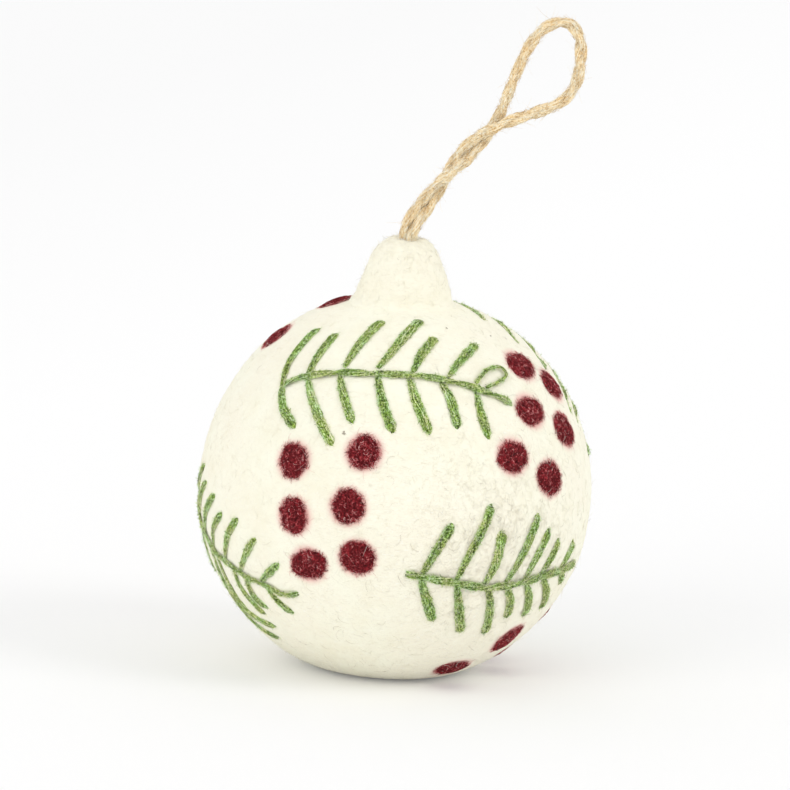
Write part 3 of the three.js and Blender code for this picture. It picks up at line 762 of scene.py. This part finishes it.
def add_strays(tubes, line, aside, outward, half, tall, rng, many):
    """Fine hairs that leave the yarn and lie down on the felt beside it."""
    t = np.linspace(0, 1, 5)[:, None]
    i = rng.integers(0, len(line), many)
    along = as_unit(np.gradient(line, axis=0))[i]
    aside, outward = aside[i], outward[i]
    spin = rng.uniform(-0.2, math.pi + 0.2, (many, 1))
    cosine, sine = np.cos(spin), np.sin(spin)
    foot = line[i] + aside * cosine * half[i, None] + outward * sine * tall[i, None]
    away = as_unit(aside * cosine + outward * sine * 0.35)
    reach = rng.uniform(0.3, 0.9, (many, 1)) * MM
    ahead = along * rng.uniform(-0.9, 0.9, (many, 1)) + away * rng.uniform(0.1, 0.9, (many, 1))
    ahead = ahead + outward * 0.1
    bend = np.cross(along, away) * rng.uniform(-0.5, 0.5, (many, 1)) - outward * 0.3 * np.abs(cosine)
    paths = foot[:, None] + (ahead * reach)[:, None] * t + (bend * reach)[:, None] * t**2
    coarse = rng.uniform(0, 1, many) < 0.3
    thick = np.where(coarse, rng.uniform(0.05, 0.075, many), rng.uniform(0.025, 0.05, many))
    tubes.add(paths, thick[:, None] * MM * (1.1 - 0.7 * t[:, 0]), 3, rng.uniform(0.25, 1.2, many))


def add_yarn(bundle, line, outward, width, rng, hairs, twist, coarse=12, fine=5):
    """Soft flat wool yarn along a line: a core, coarse strands with ragged ends, fine fibres and stray hairs.

    bundle holds the tubes of the yarn, of its fuzz and of its stray hairs. width has a value for each point.
    """
    tubes, fuzz, strays = bundle
    aside = beside(line, outward)
    length = running_length(line)
    seed = rng.uniform(0, 90)
    half = width * HALF_WIDTH * (1 + 0.24 * slow_noise(length, 900, seed))
    tall = width * YARN_FLATNESS
    # The core is darker than the strands round it: painted shade that shows in the gaps between them.
    core = []
    for angle in np.arange(10) * TURN / 10:
        rough = 0.8 + 0.2 * slow_noise(length, 1500, seed + angle * 3)
        core.append(wind(line, angle, aside, outward, half * rough, tall * rough))
    tubes.add_rings(np.stack(core, 1)[None], rng.uniform(0.15, 0.3))
    for strand in range(coarse + fine):
        is_coarse = strand < coarse
        quarter = max(1, len(line) // 4)
        first = int(rng.integers(0, 3 if is_coarse else quarter))
        last = len(line) - int(rng.integers(0, 4 if is_coarse else quarter))
        if last - first < 4:
            continue
        part = slice(first, last)
        own, here = rng.uniform(0, 90), length[part]
        start = TURN * (strand / coarse if is_coarse else rng.uniform(0, 1))
        spin = start + twist * here / MM + (0.45 if is_coarse else 1.3) * slow_noise(here, 380, own)
        ring = (0.84 if is_coarse else 1.06) + 0.2 * slow_noise(here, 700, own + 5)
        path = wind(line[part], spin, aside[part], outward[part], ring * half[part], ring * tall[part])
        if is_coarse:
            thick = width[part] * rng.uniform(0.04, 0.075) * (1 + 0.4 * slow_noise(here, 600, own + 9))
            tubes.add(path[None], thick, 4, rng.uniform(0.05, 0.8) + 0.25 * (1 - abs(math.sin(start))))
        else:
            tubes.add(path[None], rng.uniform(0.03, 0.05) * MM, 3, rng.uniform(0, 0.9))
    area = length[-1] * width.mean() / MM**2
    add_fuzz(fuzz, line, aside, outward, half, tall, rng, int(YARN_FUZZ_PER_MM2 * hairs * area))
    many = int(YARN_STRAYS_PER_MM * hairs * length[-1] / MM)
    add_strays(strays, line, aside, outward, half, tall, rng, many)


def bell(distance, reach):
    """1 at no distance, and soon 0 past the reach."""
    return np.exp(-((distance / reach) ** 2))


def add_needle(bundle, patch, places, rng, width, root_share, sunk, hairs):
    """A long flat stitch: narrow at the stem, full in its middle, sunk where it enters the felt."""
    directions = stitch_lines(patch, places)
    base = on_ball(directions)
    length = running_length(base)
    total = length[-1]
    pinch, root = bell(total - length, 0.8 * MM), bell(length, 0.8 * MM)
    full = width * (root_share + (1.04 - root_share) * np.clip(2 * length / total, 0, 1))
    full = full * rng.uniform(0.9, 1.08) * (1 - rng.uniform(0.25, 0.6) * pinch - 0.25 * root)
    height = 0.02 * MM - 0.42 * MM * pinch - 0.1 * MM * root
    height = height - sunk * np.clip(0.4 + 1.6 * slow_noise(length, 260, rng.uniform(0, 90)), 0, 1)
    line = base + directions * height[:, None]
    add_yarn(bundle, line, directions, full, rng, hairs, rng.uniform(-0.06, 0.2))


def add_stem(bundle, patch, places, rng, width, hairs):
    """Split back-stitches: two thin plies that cross, and dip into the felt where each stitch starts."""
    directions = stitch_lines(patch, places)
    base = on_ball(directions)
    aside = beside(base, directions)
    length = running_length(base)
    total = length[-1]
    beat = length / total * (len(places) - 1)
    dip = bell(beat - np.round(beat), 0.09)
    ends = bell(length, 0.9 * MM) + bell(total - length, 0.9 * MM)
    for ply in range(2):
        turn = math.pi * (beat * 0.75 + ply) + 0.6 * slow_noise(length, 160, ply * 9)
        full = width * 0.7 * (1 - 0.12 * dip - 0.35 * ends)
        height = (0.2 + 0.12 * np.sin(turn)) * width - 0.1 * MM * dip - 0.4 * MM * ends
        line = base + aside * (np.cos(turn) * width * 0.27)[:, None] + directions * height[:, None]
        add_yarn(bundle, line, directions, full, rng, 0.8 * hairs, 0.4, 6, 3)


def add_loop(bundle, patch, places, rng):
    """A thin open stitch that stands off the felt."""
    directions = stitch_lines(patch, places)
    lift = 0.2 * MM * (1 + np.sin(np.linspace(0, math.pi, len(directions))))
    line = on_ball(directions) + directions * lift[:, None]
    add_yarn(bundle, line, directions, np.full(len(line), LOOP_WIDTH), rng, 0.9, 0.4, 6, 3)


def make_sprigs(materials):
    rng = np.random.default_rng(23)
    for node, (pattern, patch) in SPRIG_PLACES.items():
        shape = SPRIGS[pattern]
        stem_width, needle_width, root_share, sunk, hairs = YARN_WIDTHS[pattern]
        bundle = Tubes(), Tubes(), Tubes()
        add_stem(bundle, patch, shape["stem"], rng, stem_width, hairs)
        for places in shape["needles"]:
            add_needle(bundle, patch, places, rng, needle_width, root_share, sunk, hairs)
        for places in shape.get("loops", []):
            add_loop(bundle, patch, places, rng)
        for tubes, kind, replaced in zip(bundle, ("yarn", "yarn_fuzz", "yarn_strays"), (node, None, None)):
            dress(tubes.build(node.replace("sprig", kind)), materials["yarn"], replaced)


# Berries
PAD_AROUND, PAD_RINGS = 40, 12
PAD_REACH = 1.06
PAD_HEIGHT, PAD_DEPTH = 0.42 * MM, 1.0 * MM
PAD_LUMPS = ((0.22 * MM, 38.0), (0.12 * MM, 90.0))
FIBRE_POINTS = 7
# A dot's fibres: how many, where they start as a share of its radius, how far they turn from outwards, their
# step, curl and thickness (lengths in mm), and their shade. Those without a start lie anywhere on the dot.
FIBRES = [
    (360, None, None, (0.15, 0.34), 1, (0.04, 0.07), None),
    (230, (0.84, 1.02), 1, (0.06, 0.22), 0.5, (0.025, 0.045), (0.2, 0.8)),
    (170, (1, 1.16), 1.5, (0.06, 0.2), 0.9, 0.02, (0.75, 1.2)),
    (6, (0.9, 1), 1.2, (0.3, 0.55), 0.5, 0.018, (0.5, 0.9)),
]
CROSSING_FIBRES = (None, None, (0.35, 0.7), 0.3, 0.024, (0.9, 1.4))
MATTED_SHADES = ((0.05, 0.4), (0.35, 0.65), (0.7, 0.95))
MATTED_ODDS = (0.45, 0.45, 0.1)


def berry_height(reach):
    return PAD_HEIGHT * np.clip(1 - np.clip(reach, 0, 1.2) ** 2.6, -0.5, 1) + 0.02 * MM


def noise_round(angles, scale, seed):
    """Noise that closes on itself round a dot."""
    return np.array([noise.noise(Vector((math.cos(a) * scale, math.sin(a) * scale, seed))) for a in angles])


def make_berry(name, direction, oval, rng):
    """The dot's pad. Returns it and its radius at even angles round it."""
    across, over = frame_of(direction)
    seed = rng.uniform(0, 90)
    angles = np.arange(PAD_AROUND) * TURN / PAD_AROUND
    long_radius, short_radius, heading = oval
    turned = angles - math.radians(heading)
    outline = 0.96 / np.hypot(np.cos(turned) / long_radius, np.sin(turned) / short_radius)
    outline = outline + 0.12 * noise_round(angles, 1.3, seed) + 0.16 * noise_round(angles, 3, seed)
    outline = BERRY_RADIUS * outline
    reach = PAD_REACH * np.arange(1, PAD_RINGS + 1) / PAD_RINGS
    spokes = outline[:, None] * (np.cos(angles)[:, None] * across + np.sin(angles)[:, None] * over)
    places = as_unit(direction * BALL_RADIUS + reach[:, None, None] * spokes).reshape(-1, 3)
    places = np.vstack([direction, places])
    heights = berry_height(np.append(0, np.repeat(reach, PAD_AROUND))) + noise_at(places, PAD_LUMPS, seed)
    points = np.vstack([on_ball(places, heights), CENTRE + direction * (BALL_RADIUS - PAD_DEPTH)])
    ring = 1 + np.arange(PAD_AROUND)
    last = ring + (PAD_RINGS - 1) * PAD_AROUND
    triangles = np.vstack([ring_fan(0, ring), ring_fan(len(points) - 1, last[::-1])])
    quads = 1 + ring_quads(PAD_RINGS, PAD_AROUND)[:, [0, 3, 2, 1]]
    return make_object(name, points, quads, triangles, shade=np.full(len(points), 0.3)), outline


def berry_fibres(tubes, direction, rng, outline, crossing):
    """Matted fibres over the dot, fine and pale ones round it, a few strays and some that cross it."""
    across, over = frame_of(direction)
    corners = np.arange(len(outline)) * TURN / len(outline)
    arched = np.sin(np.linspace(0, math.pi, FIBRE_POINTS))
    taper = 1 - 0.5 * np.abs(np.linspace(-1, 1, FIBRE_POINTS))
    for many, start, swing, steps, curls, thickness, shades in (*FIBRES, (crossing, *CROSSING_FIBRES)):
        for _ in range(many):
            angle = rng.uniform(0, TURN)
            edge = np.interp(angle, corners, outline, period=TURN)
            radius = 0.92 * edge * math.sqrt(rng.uniform(0, 1))
            heading = rng.uniform(0, TURN)
            if start:
                radius, heading = edge * rng.uniform(*start), angle + rng.uniform(-swing, swing)
            step, curl = rng.uniform(*steps) * MM, rng.uniform(-curls, curls)
            thick = (rng.uniform(*thickness) if isinstance(thickness, tuple) else thickness) * MM
            if shades:
                shade = rng.uniform(*shades)
            else:
                shade = rng.choice([rng.uniform(*limits) for limits in MATTED_SHADES], p=MATTED_ODDS)
            x, y = radius * math.cos(angle), radius * math.sin(angle)
            flat = []
            for _ in range(FIBRE_POINTS):
                flat.append((x, y))
                heading += curl + rng.uniform(-0.3, 0.3)
                x += step * math.cos(heading)
                y += step * math.sin(heading)
            flat = np.array(flat)
            reach = np.hypot(flat[:, 0], flat[:, 1]) / edge
            places = as_unit(direction * BALL_RADIUS + flat[:, :1] * across + flat[:, 1:] * over)
            base = np.where(reach > 1, 0.05 * MM, berry_height(reach))
            path = on_ball(places, base + arched * rng.uniform(0.03, 0.16) * MM)
            tubes.add(path[None], thick * taper, 3, shade)


def make_berries(materials):
    rng = np.random.default_rng(31)
    for name, directions in berry_directions().items():
        tubes = Tubes()
        for i, direction in enumerate(directions):
            if name in OVALS:
                oval = OVALS[name][i]
            else:
                oval = (rng.uniform(1.05, 1.2), rng.uniform(0.88, 1.0), rng.uniform(0, 180))
            pad, outline = make_berry(f"{name}_pad_{i + 1}", direction, oval, rng)
            dress(pad, materials["berry"], f"{name}_{i + 1}")
            crossing = 14 if worn_share(direction[None])[0] > 0.2 else 3
            berry_fibres(tubes, direction, rng, outline, crossing)
        dress(tubes.build(f"{name}_fibres"), materials["berry"])


# Felt wisps. The dark nibs caught in the felt have their places in degrees and the length of their fibres.
EVEN_WISPS, WORN_WISPS, CAP_WISPS = 5200, 1900, 1500
WISP_POINTS, CAP_WISP_POINTS = 7, 5
CAP_SHOWN = 13.2 * MM
CAP_SAG_RADIUS = 8 * MM
NIBS = [(-17, 26.5, 0.8 * MM), (33.1, 64.7, 0.4 * MM), (61.6, 58.6, 0.3 * MM), (104, -30, 0.7 * MM)]


def wisp_shades(rng, many, dark_share, least=0.45):
    """Most wisps match the felt. A share of them is darker."""
    dark = rng.uniform(0, 1, many) < dark_share
    return np.where(dark, rng.uniform(0.0, 0.25, many), rng.uniform(least, 1.0, many))


def wisp_heads(rng):
    """Where wisps start: evenly spread ones, then more on the worn felt. None lies on a berry dot."""
    z = rng.uniform(-0.9, 0.965, EVEN_WISPS)
    angle = rng.uniform(0, TURN, EVEN_WISPS)
    side = np.sqrt(1 - z**2)
    even = np.stack([side * np.cos(angle), side * np.sin(angle), z], 1)
    heads = np.concatenate([even, as_unit(WORN_HEADING + rng.normal(0, 0.27, (WORN_WISPS, 3)))])
    kept = nearest(heads, all_berries()) > BERRY_RADIUS * 1.12
    return heads[kept], (np.arange(len(heads)) >= EVEN_WISPS)[kept]


def wandering(heading, curl, step, points):
    """The share of the way and the two offsets, as columns, at each point of fibres that curl."""
    x = y = np.zeros(len(heading))
    for share in np.linspace(0, 1, points):
        yield share, x[:, None], y[:, None]
        heading = heading + curl
        x, y = x + step * np.cos(heading), y + step * np.sin(heading)


def make_ball_wisps(materials):
    """Loose wool fibres on the ball: most lie flat, some stand off it."""
    rng = np.random.default_rng(47)
    heads, curly = wisp_heads(rng)
    many = len(heads)
    across, over = frame_of(heads, (0, 0, 1))
    heading = rng.uniform(0, TURN, many)
    curl = rng.uniform(-0.55, 0.55, many) * np.where(curly, 2, 1)
    step = rng.uniform(0.2, 0.6, many) * MM
    standing = rng.uniform(0, 1, many) < 0.2
    peak = np.where(standing, rng.uniform(0.3, 1.1, many), rng.uniform(0.05, 0.22, many)) * MM
    lines = []
    for share, x, y in wandering(heading, curl, step, WISP_POINTS):
        rise = peak * np.where(standing, share, math.sin(math.pi * share)) - 0.04 * MM
        lines.append(on_ball(as_unit(heads * BALL_RADIUS + x * across + y * over), rise))
    lines = np.stack(lines, 1)
    thick = rng.uniform(0.016, 0.032, many) + np.where(curly, 0.006, 0)
    radii = thick[:, None] * MM * np.linspace(1, 0.5, WISP_POINTS)
    # Dark wisps are fewer towards the top and the left, where the light is brightest, and more towards the
    # bottom and the right: painted light and shade.
    dark_share = 0.02 + 0.12 * np.clip(0.5 - heads[:, 2] + 0.4 * heads[:, 0], 0, 1)
    shades = wisp_shades(rng, many, dark_share * np.where(curly, 0.35, 1), np.where(curly, 0.62, 0.45))
    for name, own in (("ball_wisps", ~curly), ("worn_wisps", curly)):
        tubes = Tubes()
        tubes.add(lines[own], radii[own], 3, shades[own])
        dress(tubes.build(name), materials["wisps"])


def make_cap_wisps(cap, materials):
    """Loose fibres on the cap, picked evenly among the points of the part that shows."""
    rng = np.random.default_rng(53)
    surface = []
    for label in ("co", "normal"):
        values = np.empty(len(cap.data.vertices) * 3, np.float32)
        cap.data.vertices.foreach_get(label, values)
        surface.append(values.reshape(-1, 3))
    heights = surface[0][:, 2]
    pick = rng.choice(np.nonzero(heights > heights.max() - CAP_SHOWN)[0], CAP_WISPS)
    heads, out = (values[pick].astype(float) for values in surface)
    out = as_unit(out)
    across, over = frame_of(out, (0.13, 0.2, 0.97))
    heading = rng.uniform(0, TURN, CAP_WISPS)
    curl = rng.uniform(-0.7, 0.7, CAP_WISPS)
    step = rng.uniform(0.15, 0.5, CAP_WISPS) * MM
    standing = rng.uniform(0, 1, CAP_WISPS) < 0.4
    peak = np.where(standing, rng.uniform(0.3, 1, CAP_WISPS), rng.uniform(0.05, 0.2, CAP_WISPS))
    lines = []
    for share, x, y in wandering(heading, curl, step, CAP_WISP_POINTS):
        rise = peak[:, None] * MM * share - (x**2 + y**2) / (2 * CAP_SAG_RADIUS)
        lines.append(heads + across * x + over * y + out * rise)
    radii = rng.uniform(0.018, 0.034, CAP_WISPS)[:, None] * MM * np.linspace(1, 0.5, CAP_WISP_POINTS)
    tubes = Tubes()
    tubes.add(np.stack(lines, 1), radii, 3, wisp_shades(rng, CAP_WISPS, 0.03))
    dress(tubes.build("cap_wisps"), materials["wisps"])


def make_nibs(materials):
    rng = np.random.default_rng(61)
    tubes = Tubes()
    t = np.linspace(0, 1, 6)[:, None]
    for lon, lat, reach in NIBS:
        direction = towards((lon, lat, 0), [(0, 0)])[0]
        across, over = frame_of(direction)
        for _ in range(5):
            turn, bend = rng.uniform(0, math.pi), rng.uniform(-0.6, 0.6)
            ahead = across * math.cos(turn) + over * math.sin(turn)
            aside = over * math.cos(turn) - across * math.sin(turn)
            flat = reach * ((t - 0.5) * ahead + (t - 0.5) ** 2 * 2 * bend * aside)
            path = on_ball(as_unit(direction * BALL_RADIUS + flat), 0.06 * MM * np.sin(math.pi * t[:, 0]))
            tubes.add(path[None], 0.06 * MM, 4, rng.uniform(-0.3, 0.1))
    dress(tubes.build("felt_nibs"), materials["wisps"])


# Stage and light. The floor's colour turns a little greyer along its fade heading, a painted shade, and the
# floor glows a little to the camera.
FLOOR_REACH = 4.0
FLOOR_TONE, FLOOR_SEEN, FLOOR_FADE_SHADE = (0.98,) * 3, (0.838,) * 3, (0.955,) * 3
FLOOR_GLOW = 0.12
FADE_HEADING = (-2.2, 1, 0)
AMBIENT = 0.895


def make_stage():
    corners = [(x * FLOOR_REACH, y * FLOOR_REACH, 0) for x, y in ((-1, -1), (1, -1), (1, 1), (-1, 1))]
    floor = make_object("floor", corners, [(0, 1, 2, 3)], smooth=False)
    graph = Graph(bpy.data.materials.new("white_floor"))
    seen = graph.add("LightPath", {}, "Is Camera Ray")
    place = graph.add("TexCoord", {}, "Object")
    depth = graph.add("VectorMath", {0: place, 1: FADE_HEADING}, "Value", operation="DOT_PRODUCT")
    # Painted shade: the floor's colour darkens a little along the fade heading.
    fade_shade = graph.ramp(depth, [(0.42, WHITE), (0.86, FLOOR_FADE_SHADE)])
    tone = graph.mix(1, graph.mix(seen, FLOOR_TONE, FLOOR_SEEN), fade_shade, "MULTIPLY")
    shader = graph.nodes["Principled BSDF"]
    graph.fill(shader, {"Base Color": tone, "Roughness": 1})
    strength = graph.add("Math", {0: seen, 1: FLOOR_GLOW}, operation="MULTIPLY")
    both = graph.add("AddShader", {0: shader.outputs[0], 1: graph.add("Emission", {"Strength": strength})})
    graph.fill(graph.nodes["Material Output"], {"Surface": both})
    floor.data.materials.append(graph.owner)


def add_sun(name, place, spread, strength):
    data = bpy.data.lights.new(name, "SUN")
    data.angle = math.radians(spread)
    data.energy = strength
    lamp = bpy.data.objects.new(name, data)
    lamp.location = place
    lamp.rotation_mode = "QUATERNION"
    lamp.rotation_quaternion = (Vector(place) - Vector(CENTRE)).to_track_quat("Z", "Y")
    bpy.context.collection.objects.link(lamp)


def make_light():
    """Soft light from all round, a white background and two wide suns."""
    graph = Graph(bpy.data.worlds.new("studio"))
    ambient = graph.nodes["Background"]
    graph.fill(ambient, {"Color": WHITE, "Strength": AMBIENT})
    seen = graph.add("LightPath", {}, "Is Camera Ray")
    white = graph.add("Background", {"Color": WHITE})
    both = graph.add("MixShader", {0: seen, 1: ambient.outputs[0], 2: white})
    graph.fill(graph.nodes["World Output"], {"Surface": both})
    bpy.context.scene.world = graph.owner
    add_sun("key_light", (-0.55, -0.6, 0.42), 34, 0.45)
    add_sun("fill_light", (0.73, -0.28, 0.62), 25, 0.46)
    bpy.context.scene.view_settings.view_transform = "Standard"


make_camera()
materials = make_materials()
make_cord(materials)
make_knot(materials)
make_core(materials)
make_ball(materials)
felted_cap = make_cap(materials)
make_sprigs(materials)
make_berries(materials)
make_ball_wisps(materials)
make_nibs(materials)
make_cap_wisps(felted_cap, materials)
make_stage()
make_light()
